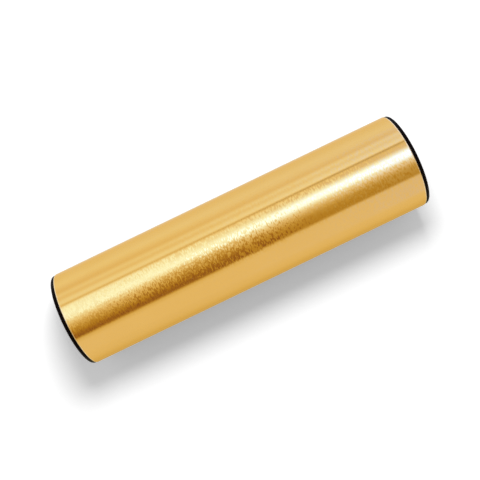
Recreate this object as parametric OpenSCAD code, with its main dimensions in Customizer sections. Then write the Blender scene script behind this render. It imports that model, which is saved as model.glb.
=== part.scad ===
// Ganza shaker: an anodised aluminium tube, closed at both ends by moulded plugs, with loose steel
// shot inside. It lies along X on the surface z = 0, with its middle over the origin.

/* [Tube] */
// Outside diameter of the tube, a two inch stock size
tube_od = 50.8; // [45:0.2:60]
// Wall of the tube
tube_wall = 1.6; // [1.2:0.1:2]
// Length of the tube alone, without the end caps
tube_length = 189.5; // [186:0.5:240]
// Radius of the turned edge at each end of the tube, outside
tube_edge_round = 0.5; // [0.2:0.1:0.8]
// Chamfer that leads the plug into the bore
bore_chamfer = 0.4; // [0.2:0.1:0.6]

/* [End caps] */
// Thickness of the flange that closes the tube
flange_thickness = 2; // [1.8:0.1:3]
// Radius of the flange's outer edge
flange_edge_round = 1.5; // [0.6:0.1:1.7]
// Thickness of the cap's end wall, flange included
end_wall = 2.6; // [2.5:0.1:3.5]
// How deep the skirt goes into the bore
skirt_depth = 10; // [9:0.5:14]
// Wall of the skirt
skirt_wall = 1.8; // [1.2:0.1:2.4]
// Radial clearance between the skirt and the bore
skirt_clearance = 0.3; // [0.2:0.05:0.4]
// Radial clearance between the crests of the gripping ribs and the bore
rib_clearance = 0.02; // [0.01:0.01:0.05]
// Number of gripping ribs round the skirt
rib_count = 3; // [2:1:4]
// Length of one gripping rib along the tube
rib_length = 1.6; // [1.2:0.1:1.8]
// Fillet inside the cap, where the skirt meets the end wall
cup_fillet = 0.8; // [0.4:0.1:1]

/* [Shot] */
// Diameter of one steel shot
shot_d = 4.5; // [4:0.1:4.6]
// Least gap between one shot and the next, and between the shot and the bore
shot_gap = 0.15; // [0.1:0.01:0.2]
// Number of shot in each row of the bed
row_shot = 24; // [16:1:24]
// Number of shot in the short row on top of the bed
top_row_shot = 10; // [6:1:12]

/* [Hidden] */
$fn = 96;

tube_r = tube_od / 2;
bore_r = tube_r - tube_wall;
tube_half = tube_length / 2;

// The flange is flush with the outside of the tube
flange_r = tube_r;
skirt_r = bore_r - skirt_clearance;
cup_r = skirt_r - skirt_wall;
rib_r = bore_r - rib_clearance;
// How far a cut runs past the face that it opens
overrun = 0.5 * bore_chamfer;
// The cup's floor, measured back from the flange's seat on the tube
cup_floor = end_wall - flange_thickness;
// The skirt's nose tapers over as much length as its wall can spare
nose_share = 0.5;
nose_taper = nose_share * skirt_wall;
rib_room = skirt_depth - nose_taper;

// One shot and the gap to the next: what the rows, the layers and the row's own pitch share
shot_pitch = shot_d + shot_gap;
// First layer: the shot lies on the bore
first_r = bore_r - shot_gap - shot_d / 2;
// Half the angle between two rows of the first layer, opened until the rows nested on
// it clear each other by the gap: sin h = p / (2 r2), with r2 = r1 cos h - sqrt(p^2 - (r1 sin h)^2)
function nested_r(h) = first_r * cos(h) - sqrt(pow(shot_pitch, 2) - pow(first_r * sin(h), 2));
function opened(h, steps) =
  steps == 0 ? h : opened(asin(shot_pitch / 2 / nested_r(h)), steps - 1);
closest_half_step = asin(shot_pitch / 2 / first_r);
half_step = opened(closest_half_step, 60);
// Second layer: each row lies between two rows of the first
second_r = nested_r(half_step);
// Third layer: the top row lies between the two middle rows of the second
third_r = second_r * cos(half_step) - sqrt(pow(shot_pitch, 2) - pow(second_r * sin(half_step), 2));

// How far a row can run each way before its end shot meets a cap, left and right alike
row_half = (row_shot - 1) / 2 * shot_pitch + shot_d / 2 + shot_gap;
echo(first_layer_run = tube_half - skirt_depth - row_half);
echo(second_layer_run = tube_half - cup_floor - row_half);

// A steel shot with its centre at the origin
module shot() {
  sphere(d = shot_d);
}

// A straight row of shot along the tube, at an angle round the bore from its lowest line
module shot_row(row_r, angle, count) {
  color("#b9bcc0")
    translate([0, 0, tube_r])
      rotate([angle, 0, 0])
        translate([-(count - 1) / 2 * shot_pitch, 0, -row_r])
          for (i = [0 : count - 1])
            translate([i * shot_pitch, 0, 0])
              shot();
}

// A row of the first layer, a number of steps towards the back, which is +Y
module first_layer_row(step) {
  shot_row(first_r, 2 * half_step * step, row_shot);
}

// A row of the second layer, over the gap between two rows of the first
module second_layer_row(step) {
  shot_row(second_r, 2 * half_step * step, row_shot);
}

// The tube's wall in the plane of its axis: x runs out from the axis, y along it
module tube_profile() {
  difference() {
    union() {
      translate([bore_r, tube_edge_round - tube_half])
        square([tube_wall, tube_length - 2 * tube_edge_round]);
      translate([bore_r, -tube_half])
        square([tube_wall - tube_edge_round, tube_length]);
      for (end = [-1, 1])
        translate([tube_r - tube_edge_round, end * (tube_half - tube_edge_round)])
          circle(r = tube_edge_round);
    }
    for (end = [-1, 1])
      polygon([
        [bore_r - overrun, end * (tube_half - bore_chamfer - overrun)],
        [bore_r + bore_chamfer + overrun, end * (tube_half + overrun)],
        [bore_r - overrun, end * (tube_half + overrun)]
      ]);
  }
}

// Turns a profile round the tube's axis, with the profile's y along +X
module turned_about_x() {
  translate([0, 0, tube_r])
    rotate([0, 90, 0])
      rotate_extrude()
        children();
}

module tube() {
  color("#e3b35d")
    turned_about_x()
      tube_profile();
}

// The cap's outside, y = 0 at its seat on the tube: a flange, and a skirt with a tapered nose
module cap_outline() {
  difference() {
    polygon([
      [0, flange_thickness],
      [flange_r, flange_thickness],
      [flange_r, 0],
      [skirt_r, 0],
      [skirt_r, nose_taper - skirt_depth],
      [skirt_r - nose_taper, -skirt_depth],
      [0, -skirt_depth]
    ]);
    translate([flange_r - flange_edge_round, flange_thickness - flange_edge_round])
      difference() {
        square(flange_edge_round + overrun);
        circle(r = flange_edge_round);
      }
  }
}

// One gripping rib: a saw tooth that slips in and holds against pulling out
module rib_profile() {
  polygon([
    [skirt_r - skirt_wall / 2, 0],
    [rib_r, 0],
    [skirt_r, -rib_length],
    [skirt_r - skirt_wall / 2, -rib_length]
  ]);
}

// The hollow of the cap, open towards the shot, with a fillet round its floor
module cup_profile() {
  translate([0, -skirt_depth - overrun])
    square([cup_r, skirt_depth + overrun - cup_floor - cup_fillet]);
  translate([0, -cup_floor - cup_fillet])
    square([cup_r - cup_fillet, cup_fillet]);
  intersection() {
    translate([cup_r - cup_fillet, -cup_floor - cup_fillet])
      circle(r = cup_fillet);
    translate([0, -skirt_depth])
      square([cup_r, skirt_depth]);
  }
}

module cap_profile() {
  difference() {
    union() {
      cap_outline();
      for (i = [1 : rib_count])
        translate([0, -i * rib_room / (rib_count + 1) + rib_length / 2])
          rib_profile();
    }
    cup_profile();
  }
}

// A cap seated on the +X end of the tube
module end_cap() {
  color("#1c1c1e")
    translate([tube_half, 0, 0])
      turned_about_x()
        cap_profile();
}

module right_end_cap() {
  end_cap();
}

module left_end_cap() {
  mirror([1, 0, 0]) end_cap();
}

tube();
left_end_cap();
right_end_cap();
first_layer_row(0);  // shot_row_bottom
first_layer_row(-1);  // shot_row_front_1
first_layer_row(-2);  // shot_row_front_2
first_layer_row(-3);  // shot_row_front_3
first_layer_row(1);  // shot_row_back_1
first_layer_row(2);  // shot_row_back_2
first_layer_row(3);  // shot_row_back_3
second_layer_row(-0.5);  // shot_row_nested_front_1
second_layer_row(-1.5);  // shot_row_nested_front_2
second_layer_row(0.5);  // shot_row_nested_back_1
second_layer_row(1.5);  // shot_row_nested_back_2
shot_row(third_r, 0, top_row_shot);  // shot_row_top
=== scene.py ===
# %% [markdown]
# # A ganza shaker: gold tube, black caps, loose steel shot
# The real object is a length of aluminium tube, turned on a lathe, rubbed with fine abrasive
# round its girth and anodised gold. A moulded black cap closes each end, and a few hundred
# steel shot run about inside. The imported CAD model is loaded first, because it says where
# everything is: the looks are then built round it, in metres and in the same frame.

# %% Load the frame
import math

import bmesh
import bpy
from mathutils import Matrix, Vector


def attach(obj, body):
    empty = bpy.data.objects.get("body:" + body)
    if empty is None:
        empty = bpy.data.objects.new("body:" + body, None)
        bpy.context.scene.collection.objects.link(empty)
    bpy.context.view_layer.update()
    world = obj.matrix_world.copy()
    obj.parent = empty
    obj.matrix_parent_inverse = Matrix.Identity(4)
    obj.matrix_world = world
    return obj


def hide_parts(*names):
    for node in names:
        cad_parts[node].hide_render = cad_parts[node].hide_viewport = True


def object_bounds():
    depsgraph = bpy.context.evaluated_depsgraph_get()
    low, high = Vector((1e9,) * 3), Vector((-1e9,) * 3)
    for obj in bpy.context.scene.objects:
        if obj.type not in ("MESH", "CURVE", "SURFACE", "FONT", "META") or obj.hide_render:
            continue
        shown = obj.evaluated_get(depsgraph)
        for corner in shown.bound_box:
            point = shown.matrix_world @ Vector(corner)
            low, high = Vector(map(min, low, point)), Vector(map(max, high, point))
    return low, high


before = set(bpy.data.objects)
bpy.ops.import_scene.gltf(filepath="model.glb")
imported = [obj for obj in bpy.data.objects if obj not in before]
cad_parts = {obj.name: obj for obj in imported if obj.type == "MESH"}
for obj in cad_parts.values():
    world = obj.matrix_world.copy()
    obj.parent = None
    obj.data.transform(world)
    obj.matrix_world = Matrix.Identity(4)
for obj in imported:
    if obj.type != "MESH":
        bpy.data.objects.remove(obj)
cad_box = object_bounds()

MM = 0.001

# %% [markdown]
# ## Colours and nodes
# Blender's shaders work in linear light, but a colour is easier to read as the hex value of a
# paint program, so one function turns one into the other. Materials and the world are both
# trees of nodes. They are mostly drawn by hand in the Shader Editor, but as code they can be
# read from top to bottom. One more function empties such a tree, and another adds any node: it
# links what is a socket and sets the rest. Inputs go by name, or by number where names repeat:
# on a Mix node, the two colours are 6 and 7.


# %% Colours and nodes
def linear(hex_colour):
    """An sRGB hex colour such as "#e4b561" as linear red, green, blue and alpha."""
    shares = [int(hex_colour[i : i + 2], 16) / 255 for i in (1, 3, 5)]
    return [c / 12.92 if c <= 0.04045 else ((c + 0.055) / 1.055) ** 2.4 for c in shares] + [1]


def emptied(owner):
    """The node tree of a material or a world, without the nodes that it starts with."""
    owner.use_nodes = True
    owner.node_tree.nodes.clear()
    return owner.node_tree


def add(tree, kind, inputs=None, stops=None, **settings):
    """Adds a node. inputs are sockets to link or values to set, by name or number; stops are
    the (place, grey) pairs of a colour ramp; settings are the node's own options."""
    node = tree.nodes.new("ShaderNode" + kind)
    for name, value in settings.items():
        setattr(node, name, value)
    for name, value in (inputs or {}).items():
        if isinstance(value, bpy.types.NodeSocket):
            tree.links.new(value, node.inputs[name])
        else:
            node.inputs[name].default_value = value
    if stops:
        ramp = node.color_ramp.elements
        ramp.remove(ramp[1])
        for i, (place, grey) in enumerate(stops):
            stop = ramp.new(place) if i else ramp[0]
            stop.position = place
            stop.color = (grey, grey, grey, 1)
    return node


print("gold in linear light:", [round(c, 3) for c in linear("#e4b561")[:3]])

# %% [markdown]
# ## The camera
# The photograph was taken from straight above, quite close: the tube lies on a table and its
# two end caps both show as thin crescents, which only happens near the object. The lens and
# height below give the same crescents, and the camera turns about the vertical so that the
# tube lies at the photograph's slant. Turning the camera, and not the tube, keeps the model
# straight in its own frame. A small step aside puts the tube just where it is in the picture.

# %% Camera
AXIS_HEIGHT = (cad_box[0].z + cad_box[1].z) / 2
SENSOR_WIDTH, LENS = 36, 56.84
CAMERA_ABOVE_AXIS = 397.2 * MM
CAMERA_ASIDE = (-0.09 * MM, -0.18 * MM)
CAMERA_TURN = math.radians(-25.714)

camera_data = bpy.data.cameras.new("camera")
camera_data.sensor_width = SENSOR_WIDTH
camera_data.lens = LENS
camera = bpy.data.objects.new("camera", camera_data)
camera.location = (*CAMERA_ASIDE, AXIS_HEIGHT + CAMERA_ABOVE_AXIS)
camera.rotation_euler = (0, 0, CAMERA_TURN)
bpy.context.scene.collection.objects.link(camera)
bpy.context.scene.camera = camera
bpy.context.scene.view_settings.view_transform = "Standard"
bpy.context.scene.cycles.caustics_reflective = False
print("camera", round(camera.location.z / MM, 1), "mm above the table")

# %% [markdown]
# ## Cool lights and warm shades
# What the metal mirrors makes most of its look, and it is built below, from a level of light
# for each place and direction. A camera lets a highlight on gold go nearly white, and its
# shades go a deep brown. The plain view used here clips red, green and blue each by itself, so
# under grey light the highlight would turn lemon yellow and the shade olive. A view such as AgX
# softens that, but it changes every plain colour as well. So high levels are a little cool and
# low ones warm: red follows the level weakly and blue strongly, and level 1 is white. The
# deepest shades keep a little blue, or they would turn orange. Where light from a window comes
# in, it gets bluer by a factor, and a little less red in turn.

# %% Tint by level
RED_POWERS, BLUE_POWERS = (0.62, 0.38), (2.7, 2.1)
LEAST_BLUE = 0.075
RED_LOST = -0.15


def tinted(tree, level, blueness):
    """The colour of a level of light, with its blue raised by a factor and its red lowered a
    little in turn."""
    red, blue = (
        add(
            tree,
            "Math",
            {
                i: add(tree, "Math", {0: level, 1: power}, operation="POWER").outputs[0]
                for i, power in enumerate(powers)
            },
            operation="MINIMUM",
        ).outputs[0]
        for powers in (RED_POWERS, BLUE_POWERS)
    )
    bluer = add(tree, "Math", {0: blue, 1: blueness}, operation="MULTIPLY").outputs[0]
    enough = add(tree, "Math", {0: bluer, 1: LEAST_BLUE}, operation="MAXIMUM").outputs[0]
    loss = add(tree, "Math", {0: blueness, 1: RED_LOST}, operation="POWER").outputs[0]
    less_red = add(tree, "Math", {0: red, 1: loss}, operation="MULTIPLY").outputs[0]
    return add(tree, "CombineColor", {0: less_red, 1: level, 2: enough}).outputs[0]


for level in (0.25, 2.0):
    print("level", level, "red", round(min(level**p for p in RED_POWERS), 2), end=", ")
    print("blue", round(min(level**p for p in BLUE_POWERS), 2))

# %% [markdown]
# ## The table
# The shaker lies on a sheet of white paper. The paper is flat, so one large square does: it
# reaches far enough that a low view doesn't see its edge near the shaker.

# %% Table
TABLE_SIDE = 4.0

table_mesh = bmesh.new()
corners = [
    (x * TABLE_SIDE / 2, y * TABLE_SIDE / 2, 0) for x, y in ((-1, -1), (1, -1), (1, 1), (-1, 1))
]
table_mesh.faces.new([table_mesh.verts.new(c) for c in corners])
table_data = bpy.data.meshes.new("table")
table_mesh.to_mesh(table_data)
table_mesh.free()
table = bpy.data.objects.new("table", table_data)
bpy.context.scene.collection.objects.link(table)
print("table", TABLE_SIDE, "m wide")

# %% [markdown]
# ## Lists of stops
# Much of the light below is a list of stops, each a place in degrees, millimetres or shares,
# and a value there. A colour ramp wants each place as a share of its own length. Such shares
# could be written down at once, but degrees and millimetres are easier to read and to change,
# so one function works out the shares.


# %% Stops
def spread(stops, start, end):
    """Stops with their places as shares of the way from start to end."""
    return [((place - start) / (end - start), value) for place, value in stops]


print("a stop at 45 degrees, from 90 to -90:", spread([(45, 1.0)], 90, -90))

# %% [markdown]
# ## Matt white paper
# The paper takes the shadow, so its white comes from its colour and the lamps. On top comes a
# weak glow that only the camera sees, as if the exposure were lifted. It makes the open paper
# pure white and keeps the shadow a soft grey, and it grows with distance, so that a low view
# shows no horizon. Lifting the exposure itself could do this too, but would bleach the gold.

# %% Paper
PAPER_GLOW, FAR_GLOW = 0.22, 0.7
GLOW_FROM, GLOW_FULL = 0.3, 1.2

paper = bpy.data.materials.new("matt_white_paper")
tree = emptied(paper)
rays = add(tree, "LightPath").outputs
matt = add(tree, "BsdfDiffuse", {"Color": linear("#ffffff")})
place = add(tree, "TexCoord").outputs["Object"]
distance = add(tree, "VectorMath", {0: place}, operation="LENGTH").outputs["Value"]
exposure = add(
    tree,
    "MapRange",
    {
        "Value": distance,
        "From Min": GLOW_FROM,
        "From Max": GLOW_FULL,
        "To Min": PAPER_GLOW,
        "To Max": FAR_GLOW,
    },
).outputs[0]
lift = add(tree, "Math", {0: rays["Is Camera Ray"], 1: exposure}, operation="MULTIPLY")
lifted = add(tree, "Emission", {"Strength": lift.outputs[0]})
seen = add(tree, "AddShader", {0: matt.outputs[0], 1: lifted.outputs[0]})
print("paper glows by", PAPER_GLOW, "near the shaker and", FAR_GLOW, "far away")

# %% [markdown]
# The metal mirrors the paper by a list of its own, from the front to the back in millimetres:
# dark under the tube, warm in its shadow in front, and bright and bluish behind, where the
# window is. The real paper's light could be left to do this, but then a change to the lamp for
# the shadow's sake would change the metal as well.

# %% Mirrored paper
# This list is painted light and shade that only mirror rays see on the paper: painted shade under
# the tube, a painted shadow in front of it, and painted light behind.
FAR = 700
MIRRORED_PAPER = [
    (-700, 1.0), (-250, 0.98), (-144, 0.97), (-100, 0.95), (-77, 0.91), (-62, 0.85), (-50, 0.77),
    (-38, 0.7), (-25, 0.35), (0, 0.12), (25, 0.5), (38, 1.0), (62, 1.05), (77, 1.07), (100, 1.1),
    (144, 1.14), (254, 1.17), (700, 1.13),
]
BLUISH_PAPER = [(-700, 1.0), (-100, 0.0), (20, 0.0), (80, 1.0)]
BLUE_LEFT, BLUE_RIGHT, BLUE_REACH = 0.98, 1.18, 150 * MM

spot = add(tree, "SeparateXYZ", {0: place}).outputs
backwards = add(
    tree, "MapRange", {"Value": spot["Y"], "From Min": -FAR * MM, "From Max": FAR * MM}
).outputs[0]
level, bluish = (
    add(tree, "ValToRGB", {0: backwards}, spread(stops, -FAR, FAR))
    for stops in (MIRRORED_PAPER, BLUISH_PAPER)
)
sideways = add(
    tree,
    "MapRange",
    {
        "Value": spot["X"],
        "From Min": -BLUE_REACH,
        "From Max": BLUE_REACH,
        "To Min": BLUE_LEFT,
        "To Max": BLUE_RIGHT,
    },
).outputs[0]
blueness = add(
    tree, "MapRange", {"Value": bluish.outputs[0], "To Min": 1.0, "To Max": sideways}
).outputs[0]
mirrored = add(tree, "Emission", {"Color": tinted(tree, level.outputs[0], blueness)})
both = add(
    tree, "MixShader", {0: rays["Is Glossy Ray"], 1: seen.outputs[0], 2: mirrored.outputs[0]}
)
add(tree, "OutputMaterial", {"Surface": both.outputs[0]})
table_data.materials.append(paper)
print("paper's own list has", len(MIRRORED_PAPER), "stops")

# %% [markdown]
# ## The key lamp
# One round lamp makes the soft shadow. It hangs behind the tube and a little to the right. It is
# near, so the shadow spreads as it falls, and wide, so its edge fades. A flat area lamp would
# do too, but a ball fades the shadow alike on every side. Its light doesn't fall off with
# distance, so the table is lit evenly. The metal doesn't mirror this lamp, because the studio
# that comes next is made for that.

# %% Key lamp
LAMP_PLACE = (0.055, 0.173, 0.343)
LAMP_RADIUS = 0.08
LAMP_LEVEL = 0.62
ENERGY_FOR_LEVEL_1 = 45.5

lamp_data = bpy.data.lights.new("key_lamp", "POINT")
lamp_data.energy = LAMP_LEVEL * ENERGY_FOR_LEVEL_1
lamp_data.shadow_soft_size = LAMP_RADIUS
lamp_data.use_nodes = True
tree = lamp_data.node_tree
even = add(tree, "LightFalloff", {"Strength": 1.0}).outputs["Constant"]
tree.links.new(even, tree.nodes["Emission"].inputs["Strength"])
lamp = bpy.data.objects.new("key_lamp", lamp_data)
lamp.location = LAMP_PLACE
lamp.visible_glossy = False
lamp.visible_camera = False
bpy.context.scene.collection.objects.link(lamp)
print("lamp", round(math.dist(LAMP_PLACE, (0, 0, 0)), 2), "m from the tube")

# %% [markdown]
# ## The studio that the metal mirrors
# A polished tube shows its surroundings as straight bands, so most of its look is the studio.
# Round this one stand white walls, with one bright panel overhead and behind, which shades off
# slowly towards the front and ends at a dark edge. Glowing planes could make it, but such slow
# fades are easier to write down as lists of levels, so the world gives each direction a
# brightness. It needs only two numbers of a direction: its turn about the tube's axis, and how
# far it leans along the tube. The turn is twice the angle to a point one unit below, so the
# panels bend a little inwards at their ends. A groove round the girth throws light just along
# such a bend, so the bands' edges stay sharp however much the grooves scatter.

# %% Directions
LEAN = 0.25

world = bpy.data.worlds.new("studio")
bpy.context.scene.world = world
tree = emptied(world)
direction = add(tree, "SeparateXYZ", {0: add(tree, "TexCoord").outputs["Generated"]}).outputs
raised = add(tree, "Math", {0: direction["Z"], 1: 1.0}, operation="ADD").outputs[0]
half_turn = add(tree, "Math", {0: direction["Y"], 1: raised}, operation="ARCTAN2").outputs[0]
turn = add(
    tree, "Math", {0: half_turn, 1: math.degrees(2)}, operation="MULTIPLY"
).outputs[0]
lean = add(
    tree, "MapRange", {"Value": direction["X"], "From Min": -LEAN, "From Max": LEAN}
).outputs[0]
away = add(tree, "Math", {0: direction["X"]}, operation="ABSOLUTE").outputs[0]
print("the tube's ends mirror directions that lean", LEAN, "along it")

# %% [markdown]
# ### The panels
# From the wall behind, over the top and down to the wall in front stand one weak panel, a
# narrow dark gap, the bright panel, its slow fade, and a dark edge. Each is given as a turn in
# degrees and a brightness, where 1 is the white wall. There is one list for each end of the
# tube, since the bright panel narrows from left to right. A slanting view mirrors what stands
# far along the tube. There the grooves would fray a sharp edge into teeth, so the same studio
# is given once more with soft edges.

# %% Panels
WALL = 90
LEFT_PANELS = [
    (90, 1.12), (79, 0.98), (74.5, 0.97), (66, 1.2), (60, 1.06), (57, 1.03), (50, 1.3),
    (45, 1.31), (42, 0.93), (39.5, 0.83), (37.5, 1.42), (34, 1.73), (19, 1.85), (11, 1.85),
    (1, 1.2), (-9, 0.76), (-23, 0.44), (-33, 0.22), (-40, 0.17), (-46, 0.86), (-56, 1.0),
    (-90, 1.0),
]
RIGHT_PANELS = [
    (90, 1.17), (79, 1.04), (74, 0.99), (65, 1.29), (60, 1.19), (57, 1.15), (51, 1.29), (45, 1.42),
    (43, 0.99), (41.5, 0.54), (40, 0.54), (38.5, 0.91), (34, 1.0), (29.5, 0.95), (24, 1.5),
    (20, 1.95), (15, 2.6), (7, 2.3), (1, 1.6), (-5, 1.14), (-13, 0.76), (-21, 0.54),
    (-40, 0.45), (-45.5, 0.98), (-90, 1.0),
]
FAR_PANELS = [
    (90, 1.1), (62, 1.2), (51, 1.26), (42, 1.05), (33, 1.35), (20, 1.8), (8, 1.75), (-6, 1.0),
    (-22, 0.55), (-36, 0.42), (-52, 0.9), (-90, 1.0),
]
across = add(tree, "MapRange", {"Value": turn, "From Min": WALL, "From Max": -WALL}).outputs[0]
left, right, far = (
    add(tree, "ValToRGB", {0: across}, spread(panels, WALL, -WALL))
    for panels in (LEFT_PANELS, RIGHT_PANELS, FAR_PANELS)
)
print(len(LEFT_PANELS), "edges at the left end and", len(RIGHT_PANELS), "at the right")

# %% [markdown]
# ### From one end to the other
# The two ends are blended along the tube, and both give way to the soft list far along it. The
# slow fade is also a little darker left of the middle than at the ends, so it has a list along
# the tube, and another that says for which turns that one counts.

# %% Along the tube
NARROWS_FROM, NARROWS_TO = 0.15, 0.92
SLANTS_FROM, SLANTS_TO = 0.28, 0.5
FADE_TURNS = [(10, 0.0), (-1, 1.0), (-32, 1.0), (-40, 0.0)]
FADE_ALONG = [
    (0.0, 1.15), (0.08, 1.06), (0.16, 0.9), (0.27, 0.8), (0.5, 0.84), (0.69, 0.89), (0.75, 0.95),
    (0.85, 1.04), (0.93, 1.12),
]
narrowing = add(
    tree,
    "MapRange",
    {"Value": lean, "From Min": NARROWS_FROM, "From Max": NARROWS_TO},
    interpolation_type="SMOOTHSTEP",
).outputs[0]
panel = add(
    tree,
    "Mix",
    {"Factor": narrowing, 6: left.outputs[0], 7: right.outputs[0]},
    data_type="RGBA",
).outputs[2]
in_fade = add(tree, "ValToRGB", {0: across}, spread(FADE_TURNS, WALL, -WALL)).outputs[0]
fade_level = add(tree, "ValToRGB", {0: lean}, FADE_ALONG).outputs[0]
faded = add(tree, "MapRange", {"Value": in_fade, "To Min": 1.0, "To Max": fade_level}).outputs[0]
panel = add(tree, "Math", {0: panel, 1: faded}, operation="MULTIPLY").outputs[0]
slanting = add(
    tree,
    "MapRange",
    {"Value": away, "From Min": SLANTS_FROM, "From Max": SLANTS_TO},
    interpolation_type="SMOOTHSTEP",
).outputs[0]
panel = add(
    tree, "Mix", {"Factor": slanting, 6: panel, 7: far.outputs[0]}, data_type="RGBA"
).outputs[2]
print("the fade's level along the tube:", [level for _, level in FADE_ALONG])

# %% [markdown]
# ### The grid
# A grid of thin slats stands across the bright panel, as on a studio lamp, deeper towards the
# front. The fine grooves of the metal lean a little left or right, so each mirrors a slat or
# the light between two. So the fade glitters, and the walls, which have no slats, stay smooth.
# A rougher metal would only blur the bands, and wouldn't glitter. Beyond what the tube mirrors
# from above, both the slats and the light get weaker, so that the tube stays gold when it is
# seen along its length. Each of these is given by where it starts, where it is complete, and
# what is left there.

# %% Grid
SLAT_PITCH = 0.22
SLAT_DEPTHS = [
    (38, 0.0), (37, 0.06), (12, 0.14), (5, 0.34), (-5, 0.42), (-14, 0.55), (-24, 0.55),
    (-33, 0.52), (-41, 0.4), (-45, 0.0),
]
DEPTHS_ALONG = [
    (0.0, 0.7), (0.12, 1.0), (0.2, 1.05), (0.32, 1.0), (0.45, 0.6), (0.6, 0.75), (0.7, 0.9),
    (0.8, 0.42), (0.88, 0.12), (1.0, 0.0),
]
FEWER_SLATS, DIMMER_LIGHT = (0.3, 0.6, 0.35), (0.35, 0.95, 0.45)
phase = add(tree, "Math", {0: direction["X"], 1: 2 * math.pi / SLAT_PITCH}, operation="MULTIPLY")
slats = add(tree, "Math", {0: phase.outputs[0]}, operation="SINE").outputs[0]
depth = add(tree, "ValToRGB", {0: across}, spread(SLAT_DEPTHS, WALL, -WALL)).outputs[0]
shallower = add(tree, "ValToRGB", {0: lean}, DEPTHS_ALONG).outputs[0]
depth = add(tree, "Math", {0: depth, 1: shallower}, operation="MULTIPLY").outputs[0]
fewer, dimmer = (
    add(
        tree,
        "MapRange",
        {"Value": away, "From Min": start, "From Max": end, "To Min": 1.0, "To Max": least},
        interpolation_type="SMOOTHSTEP",
    ).outputs[0]
    for start, end, least in (FEWER_SLATS, DIMMER_LIGHT)
)
depth = add(tree, "Math", {0: depth, 1: fewer}, operation="MULTIPLY").outputs[0]
between = add(tree, "Math", {0: slats, 1: depth, 2: 1.0}, operation="MULTIPLY_ADD").outputs[0]
level = add(tree, "Math", {0: panel, 1: between}, operation="MULTIPLY").outputs[0]
level = add(tree, "Math", {0: level, 1: dimmer}, operation="MULTIPLY").outputs[0]
print("slats", round(math.degrees(SLAT_PITCH)), "degrees apart")

# %% [markdown]
# ### Blue from the window
# The window is on the right, so the panels get bluer that way. Only the dark gap stays a plain
# grey at that end, where the tint of a low level would turn it orange.

# %% Window
WINDOW_SPAN = 0.5
WINDOW_BLUE = [
    (-0.24, 1.06), (-0.19, 1.0), (-0.08, 0.99), (0.1, 1.13), (0.175, 1.18), (0.21, 1.34),
    (0.24, 1.62), (0.28, 1.6), (0.42, 1.15),
]
GREY_TURNS = [(46, 0.0), (43, 0.8), (36, 0.6), (32, 0.0)]
sidelong = add(
    tree, "MapRange", {"Value": direction["X"], "From Min": -WINDOW_SPAN, "From Max": WINDOW_SPAN}
).outputs[0]
window_stops = spread(WINDOW_BLUE, -WINDOW_SPAN, WINDOW_SPAN)
bluer = add(tree, "ValToRGB", {0: sidelong}, window_stops).outputs[0]
greyer = add(tree, "ValToRGB", {0: across}, spread(GREY_TURNS, WALL, -WALL)).outputs[0]
greyer = add(tree, "Math", {0: greyer, 1: narrowing}, operation="MULTIPLY").outputs[0]
colour = add(
    tree, "Mix", {"Factor": greyer, 6: tinted(tree, level, bluer), 7: level}, data_type="RGBA"
).outputs[2]
print("bluest by", max(factor for _, factor in WINDOW_BLUE))

# %% [markdown]
# ### Who sees what
# Mirror rays see the panels. The camera sees plain white, and every other ray a plain soft
# light that, with the key lamp, shows a colour about as it is written. The world isn't sampled
# as a lamp, since such a sample can't tell what kind of ray asks.

# %% World
SOFT_LEVEL = 0.38
rays = add(tree, "LightPath").outputs
soft_or_white = add(
    tree, "MapRange", {"Value": rays["Is Camera Ray"], "To Min": SOFT_LEVEL, "To Max": 1.0}
).outputs[0]
plain = add(tree, "Background", {"Color": linear("#ffffff"), "Strength": soft_or_white})
banded = add(tree, "Background", {"Color": colour})
sky = add(
    tree,
    "MixShader",
    {0: rays["Is Glossy Ray"], 1: plain.outputs[0], 2: banded.outputs[0]},
)
add(tree, "OutputWorld", {"Surface": sky.outputs[0]})
world.cycles.sampling_method = "NONE"
print("soft light", SOFT_LEVEL, "and lamp", LAMP_LEVEL, "make", round(SOFT_LEVEL + LAMP_LEVEL, 2))

# %% [markdown]
# ## Gold anodised aluminium
# First come the marks of the abrasive. It ran round the girth, so each short groove leans along
# the tube and never across it. That keeps the bands straight and crisp, and where one fades
# the grooves show as fine dashes round the girth. Anisotropic roughness could stand for them,
# but it blurs all places alike, and here single grooves show. So a noise that is stretched
# round the girth tilts the normal. Real grooves are about a twentieth of a millimetre wide.
# They are drawn thirteen times coarser, so that they show at this distance.

# %% Grooves
GROOVE_WIDTH, GROOVE_LENGTH = 0.65 * MM, 1.7 * MM
GROOVE_TILT = 0.05
GROOVE_FAINT, GROOVE_DEEP = 0.3, 0.7

gold = bpy.data.materials.new("gold_anodised_aluminium_rubbed")
tree = emptied(gold)
place = add(tree, "TexCoord").outputs["Object"]
grooves = add(
    tree,
    "VectorMath",
    {0: place, 1: (1 / GROOVE_WIDTH, 1 / GROOVE_LENGTH, 1 / GROOVE_LENGTH)},
    operation="MULTIPLY",
).outputs[0]
dashes = add(tree, "TexNoise", {"Vector": grooves, "Scale": 1.0, "Detail": 0.0}).outputs[0]
tilt = add(
    tree,
    "MapRange",
    {
        "Value": dashes,
        "From Min": GROOVE_FAINT,
        "From Max": GROOVE_DEEP,
        "To Min": -GROOVE_TILT,
        "To Max": GROOVE_TILT,
    },
).outputs[0]
round_girth = add(tree, "Tangent", direction_type="RADIAL", axis="X").outputs[0]
flat = add(tree, "NewGeometry").outputs["Normal"]
along = add(tree, "VectorMath", {0: flat, 1: round_girth}, operation="CROSS_PRODUCT").outputs[0]
lean_over = add(tree, "VectorMath", {0: along, "Scale": tilt}, operation="SCALE").outputs[0]
leaning = add(tree, "VectorMath", {0: flat, 1: lean_over}, operation="ADD").outputs[0]
normal = add(tree, "VectorMath", {0: leaning}, operation="NORMALIZE").outputs[0]
print("grooves drawn", GROOVE_WIDTH / MM, "by", GROOVE_LENGTH / MM, "mm")

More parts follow.
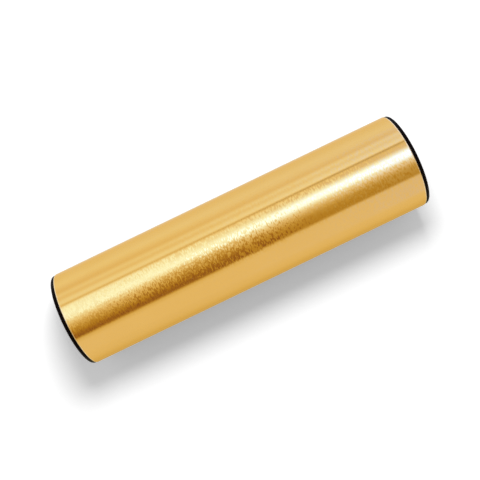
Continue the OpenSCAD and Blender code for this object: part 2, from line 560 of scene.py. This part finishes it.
# %% [markdown]
# Anodising grows a clear, hard oxide on the metal, which is dyed and sealed. The eye gets a
# coloured metal under a thin glossy layer: paler at grazing angles, with a touch of white
# everywhere. A shell of glass round the metal could be that layer, but the shader's own coat
# does it without a second mesh. The dye takes a little unevenly, in patches of about a
# fingertip's width.

# %% Gold material
DYE_PATCH = 14 * MM
METAL_ROUGHNESS, GRAZING_TINT = 0.12, (0.93, 0.8, 0.55, 1)
OXIDE_SHEEN, OXIDE_ROUGHNESS, OXIDE_IOR = 0.12, 0.1, 1.6

patches = add(tree, "TexNoise", {"Vector": place, "Scale": 1 / DYE_PATCH, "Detail": 2.0}).outputs[0]
dye = add(
    tree,
    "Mix",
    {"Factor": patches, 6: linear("#e3b35c"), 7: linear("#e5b661")},
    data_type="RGBA",
).outputs[2]
metal = add(
    tree,
    "BsdfPrincipled",
    {
        "Base Color": dye,
        "Metallic": 1.0,
        "Roughness": METAL_ROUGHNESS,
        "Normal": normal,
        "Specular Tint": GRAZING_TINT,
        "Coat Weight": OXIDE_SHEEN,
        "Coat Roughness": OXIDE_ROUGHNESS,
        "Coat IOR": OXIDE_IOR,
    },
)
add(tree, "OutputMaterial", {"Surface": metal.outputs[0]})
print("dye patches", DYE_PATCH / MM, "mm wide")

# %% [markdown]
# ## Pale turned edge
# The tube is cut to length in a lathe, and the oxide takes less dye on the sharp new edge. The
# eye gets a thin pale ring between the gold and the black. It is the same piece of metal, so
# it is no ring of its own, but a second material on the tube's end faces. Each pass of the tool
# leaves a fine groove round it. They are drawn 0.15 mm apart, about twice the real feed.

# %% Edge material
TOOL_FEED = 0.15 * MM
SMOOTH_CUT, ROUGH_CUT = 0.28, 0.4
pale_edge = bpy.data.materials.new("pale_gold_turned_edge")
tree = emptied(pale_edge)
along_axis = add(tree, "SeparateXYZ", {0: add(tree, "TexCoord").outputs["Object"]}).outputs["X"]
feed = add(tree, "Math", {0: along_axis, 1: 2 * math.pi / TOOL_FEED}, operation="MULTIPLY")
passes = add(tree, "Math", {0: feed.outputs[0]}, operation="SINE").outputs[0]
cut_marks = add(
    tree,
    "MapRange",
    {"Value": passes, "From Min": -1.0, "To Min": SMOOTH_CUT, "To Max": ROUGH_CUT},
).outputs[0]
edge_metal = add(
    tree,
    "BsdfPrincipled",
    {"Base Color": linear("#f6dcac"), "Metallic": 1.0, "Roughness": cut_marks},
)
add(tree, "OutputMaterial", {"Surface": edge_metal.outputs[0]})
print("tool passes drawn", TOOL_FEED / MM, "mm apart")

# %% [markdown]
# ## Black moulded ABS
# The caps come out of a steel mould whose walls were spark-eroded to a fine matt grain. Pits in
# the mesh would take millions of faces, so a noise makes a bump and a change in roughness. The
# real grain is under a tenth of a millimetre, and it is drawn at three tenths.

# %% Mould grain
MOULD_GRAIN, PIT_DEPTH, PIT_STRENGTH = 0.3 * MM, 0.02 * MM, 0.6
SHINY_GRAIN, MATT_GRAIN = 0.42, 0.6
abs_black = bpy.data.materials.new("black_moulded_abs")
tree = emptied(abs_black)
place = add(tree, "TexCoord").outputs["Object"]
pits = add(tree, "TexNoise", {"Vector": place, "Scale": 1 / MOULD_GRAIN, "Detail": 2.0}).outputs[0]
relief = add(
    tree, "Bump", {"Height": pits, "Distance": PIT_DEPTH, "Strength": PIT_STRENGTH}
).outputs[0]
sheen = add(
    tree, "MapRange", {"Value": pits, "To Min": SHINY_GRAIN, "To Max": MATT_GRAIN}
).outputs[0]
print("mould grain drawn", MOULD_GRAIN / MM, "mm")

# %% [markdown]
# ABS has an IOR of about 1.54, but the grain scatters most of the shine, so the rounded rim
# stays a deep black. The end faces are painted a little greyer than the rim, in broad patches:
# partly scuffs from standing the shaker on its ends, and partly a painted sheen, which stands
# in for the shine that the low specular level leaves out.

# %% Black material
SHEEN_SCUFF_PATCH, SHEEN_SCUFF_FAINT, SHEEN_SCUFF_FULL = 5 * MM, 0.15, 0.4
FACE_AT, FACE_FADE = cad_box[1].x, 0.2 * MM
ABS_IOR, SHINE_LEFT = 1.54, 0.04
sheen_scuff_patches = add(tree, "TexNoise", {"Vector": place, "Scale": 1 / SHEEN_SCUFF_PATCH, "Detail": 3.0})
sheen_scuff_grain = add(tree, "Math", {0: sheen_scuff_patches.outputs[0], 1: pits}, operation="MULTIPLY").outputs[0]
sheen_and_scuff_share = add(
    tree, "MapRange", {"Value": sheen_scuff_grain, "From Min": SHEEN_SCUFF_FAINT, "From Max": SHEEN_SCUFF_FULL}
).outputs[0]
# The end faces get a greyer colour than the rim: partly scuffs, partly a painted sheen.
rim, painted_sheen_face = (
    add(
        tree,
        "Mix",
        {"Factor": share, 6: linear(dark), 7: linear(pale)},
        data_type="RGBA",
    ).outputs[2]
    for share, dark, pale in ((pits, "#020202", "#0b0909"), (sheen_and_scuff_share, "#141312", "#383431"))
)
# This mask picks the flat end faces for the painted sheen and its scuffs.
off_centre = add(tree, "SeparateXYZ", {0: place}).outputs["X"]
outwards = add(tree, "Math", {0: off_centre}, operation="ABSOLUTE").outputs[0]
sheen_face_mask = add(
    tree,
    "MapRange",
    {"Value": outwards, "From Min": FACE_AT - FACE_FADE, "From Max": FACE_AT},
).outputs[0]
black = add(tree, "Mix", {"Factor": sheen_face_mask, 6: rim, 7: painted_sheen_face}, data_type="RGBA").outputs[2]
plastic = add(
    tree,
    "BsdfPrincipled",
    {
        "Base Color": black,
        "Roughness": sheen,
        "IOR": ABS_IOR,
        "Specular IOR Level": SHINE_LEFT,
        "Specular Tint": linear("#ffa870"),
        "Normal": relief,
    },
)
add(tree, "OutputMaterial", {"Surface": plastic.outputs[0]})
print("scuffs drawn", SHEEN_SCUFF_PATCH / MM, "mm wide")

# %% [markdown]
# ## Steel shot
# Hardened steel shot is tumbled bright, then scuffs itself dull in use. It is a neutral grey
# metal with a low roughness that varies over each ball. The CAD model's balls are round enough
# as they are, so they stay and only get this material.

# %% Steel material
SCUFF = 0.8 * MM
BRIGHT_STEEL, DULL_STEEL = 0.16, 0.42
steel = bpy.data.materials.new("tumbled_steel_shot")
tree = emptied(steel)
place = add(tree, "TexCoord").outputs["Object"]
scuffs = add(tree, "TexNoise", {"Vector": place, "Scale": 1 / SCUFF, "Detail": 3.0}).outputs[0]
dull = add(
    tree, "MapRange", {"Value": scuffs, "To Min": BRIGHT_STEEL, "To Max": DULL_STEEL}
).outputs[0]
tone = add(
    tree,
    "Mix",
    {"Factor": scuffs, 6: linear("#c9cbce"), 7: linear("#b4b4b3")},
    data_type="RGBA",
).outputs[2]
ball = add(tree, "BsdfPrincipled", {"Base Color": tone, "Metallic": 1.0, "Roughness": dull})
add(tree, "OutputMaterial", {"Surface": ball.outputs[0]})

for name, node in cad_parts.items():
    if name.startswith("shot_row"):
        node.data.materials.clear()
        node.data.materials.append(steel)
print("rows of shot:", sum(name.startswith("shot_row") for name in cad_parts))

# %% [markdown]
# ## Turning a profile
# Tube and caps are round, so each is a profile turned about the tube's axis, as on a lathe.
# Blender's Screw modifier would do that too, but code says plainly what becomes of each point:
# a profile is a list of (x, radius) points, and a point on the axis becomes one vertex, any
# other a ring. Corners sharper than 30 degrees stay crisp, and the rest shade smoothly. Next to a
# rounded edge, a profile has one more point at a small distance, which keeps the flat beside
# the round from shading as if it were bent too.

# %% Lathe
RING = 192
SHARP = math.radians(30)
BESIDE_ROUND = 0.2


def arc(x, radius, size, start, end, steps=6):
    """Points of a rounded edge about (x, radius), from one angle in degrees to another."""
    angles = [math.radians(start + (end - start) * i / steps) for i in range(steps + 1)]
    return [(x + size * math.cos(a), radius + size * math.sin(a)) for a in angles]


def turned(name, profile, material, body, closed):
    """A piece made by turning a profile in millimetres about the tube's axis."""
    work = bmesh.new()
    rings = []
    for x, radius in profile:
        count = RING if radius > 0 else 1
        rings.append(
            [
                work.verts.new(
                    (
                        x * MM,
                        radius * MM * math.sin(2 * math.pi * i / RING),
                        AXIS_HEIGHT + radius * MM * math.cos(2 * math.pi * i / RING),
                    )
                )
                for i in range(count)
            ]
        )
    for k in range(len(rings) if closed else len(rings) - 1):
        one, other = rings[k], rings[(k + 1) % len(rings)]
        for i in range(RING):
            corners = [(one, i), (one, i + 1), (other, i + 1), (other, i)]
            face = [ring[at % len(ring)] for ring, at in corners]
            work.faces.new(list(dict.fromkeys(face)))
    bmesh.ops.recalc_face_normals(work, faces=work.faces)
    for face in work.faces:
        face.smooth = True
    data = bpy.data.meshes.new(name)
    work.to_mesh(data)
    work.free()
    data.set_sharp_from_angle(angle=SHARP)
    data.materials.append(material)
    piece = bpy.data.objects.new(name, data)
    bpy.context.scene.collection.objects.link(piece)
    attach(piece, body)
    print(name, len(data.polygons), "faces")
    return piece


# %% [markdown]
# ## The tube
# Two inch aluminium tube, cut to length in a lathe. The cutter leaves a small round on the
# outer edge of each end, which catches the light as a thin bright line beside the black cap,
# and a chamfer inside that leads the cap in. A Bevel modifier could round a plain tube's edges,
# but in the profile each edge gets its own form and size. The wall is cut into short steps, so
# that its faces aren't slivers as long as the tube.

# %% Tube
TUBE_RADIUS, BORE_RADIUS, TUBE_HALF = 25.4, 23.8, 94.75
EDGE_ROUND, BORE_CHAMFER = 0.6, 0.4
WALL_STEPS = 24

wall_end = TUBE_HALF - EDGE_ROUND
shoulder = wall_end - BESIDE_ROUND
wall = [(-shoulder + 2 * shoulder * i / WALL_STEPS, TUBE_RADIUS) for i in range(WALL_STEPS + 1)]
tube_profile = [
    *arc(-wall_end, TUBE_RADIUS - EDGE_ROUND, EDGE_ROUND, 180, 90),
    *wall,
    *arc(wall_end, TUBE_RADIUS - EDGE_ROUND, EDGE_ROUND, 90, 0),
    (TUBE_HALF, BORE_RADIUS + BORE_CHAMFER),
    (TUBE_HALF - BORE_CHAMFER, BORE_RADIUS),
    (BORE_CHAMFER - TUBE_HALF, BORE_RADIUS),
    (-TUBE_HALF, BORE_RADIUS + BORE_CHAMFER),
]
tube = turned("gold_tube", tube_profile, gold, "shaker", closed=True)
tube.data.materials.append(pale_edge)
for face in tube.data.polygons:
    if abs(face.center.x) > wall_end * MM:
        face.material_index = 1
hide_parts("tube")

# %% [markdown]
# ## The caps
# Each cap is one moulding: a flange that covers the end of the tube, and a skirt that grips
# the bore with three saw-toothed ribs, which slip in and don't come out. Its wall is even, so
# the middle is hollow towards the shot, as in any good moulding. In the middle of the outside
# is the small dimple where the plastic came in, with the stub left by the sprue. A Mirror
# modifier would make both caps one piece, so the same profile is turned twice, once reversed.

# %% Caps
FLANGE, FLANGE_RADIUS, FLANGE_ROUND, RIM_STEPS = 2.0, 25.1, 1.2, 10
SKIRT_DEPTH, SKIRT_RADIUS, NOSE_TAPER = 10.0, 23.5, 0.9
RIBS, RIB_LENGTH, RIB_RADIUS = 3, 1.6, 23.78
CUP_RADIUS, CUP_FLOOR, CUP_FILLET = 21.7, -0.6, 0.8
DIMPLE_RADIUS, DIMPLE_DEPTH, STUB_RADIUS, STUB_HEIGHT = 2.0, 0.25, 0.6, 0.15

rib_step = (SKIRT_DEPTH - NOSE_TAPER) / (RIBS + 1)
rib_starts = [RIB_LENGTH / 2 - rib_step * (i + 1) for i in range(RIBS)]
ribs = [
    point
    for start in rib_starts
    for point in (
        (start, SKIRT_RADIUS),
        (start, RIB_RADIUS),
        (start - RIB_LENGTH, SKIRT_RADIUS),
    )
]
cap_profile = [
    (FLANGE - DIMPLE_DEPTH + STUB_HEIGHT, 0),
    (FLANGE - DIMPLE_DEPTH + STUB_HEIGHT, STUB_RADIUS),
    (FLANGE - DIMPLE_DEPTH, STUB_RADIUS),
    (FLANGE - DIMPLE_DEPTH, DIMPLE_RADIUS - DIMPLE_DEPTH),
    (FLANGE, DIMPLE_RADIUS),
    (FLANGE, FLANGE_RADIUS - FLANGE_ROUND - BESIDE_ROUND),
    *arc(FLANGE - FLANGE_ROUND, FLANGE_RADIUS - FLANGE_ROUND, FLANGE_ROUND, 0, 90, RIM_STEPS),
    (0, FLANGE_RADIUS),
    (0, SKIRT_RADIUS),
    *ribs,
    (NOSE_TAPER - SKIRT_DEPTH, SKIRT_RADIUS),
    (-SKIRT_DEPTH, SKIRT_RADIUS - NOSE_TAPER),
    (-SKIRT_DEPTH, CUP_RADIUS),
    (CUP_FLOOR - CUP_FILLET - BESIDE_ROUND, CUP_RADIUS),
    *arc(CUP_FLOOR - CUP_FILLET, CUP_RADIUS - CUP_FILLET, CUP_FILLET, 90, 0),
    (CUP_FLOOR, CUP_RADIUS - CUP_FILLET - BESIDE_ROUND),
    (CUP_FLOOR, 0),
]
for side, end in (("left", -1), ("right", 1)):
    at_end = [(end * (TUBE_HALF + x), radius) for x, radius in cap_profile]
    cap = turned(side + "_cap", at_end, abs_black, "shaker", closed=False)
    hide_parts(side + "_end_cap")

# %% [markdown]
# ## Size
# The dressed model is built to stay inside the CAD model's box, which is printed here in
# millimetres.

# %% Sizes
print("CAD box", [[round(v / MM, 2) for v in corner] for corner in cad_box])
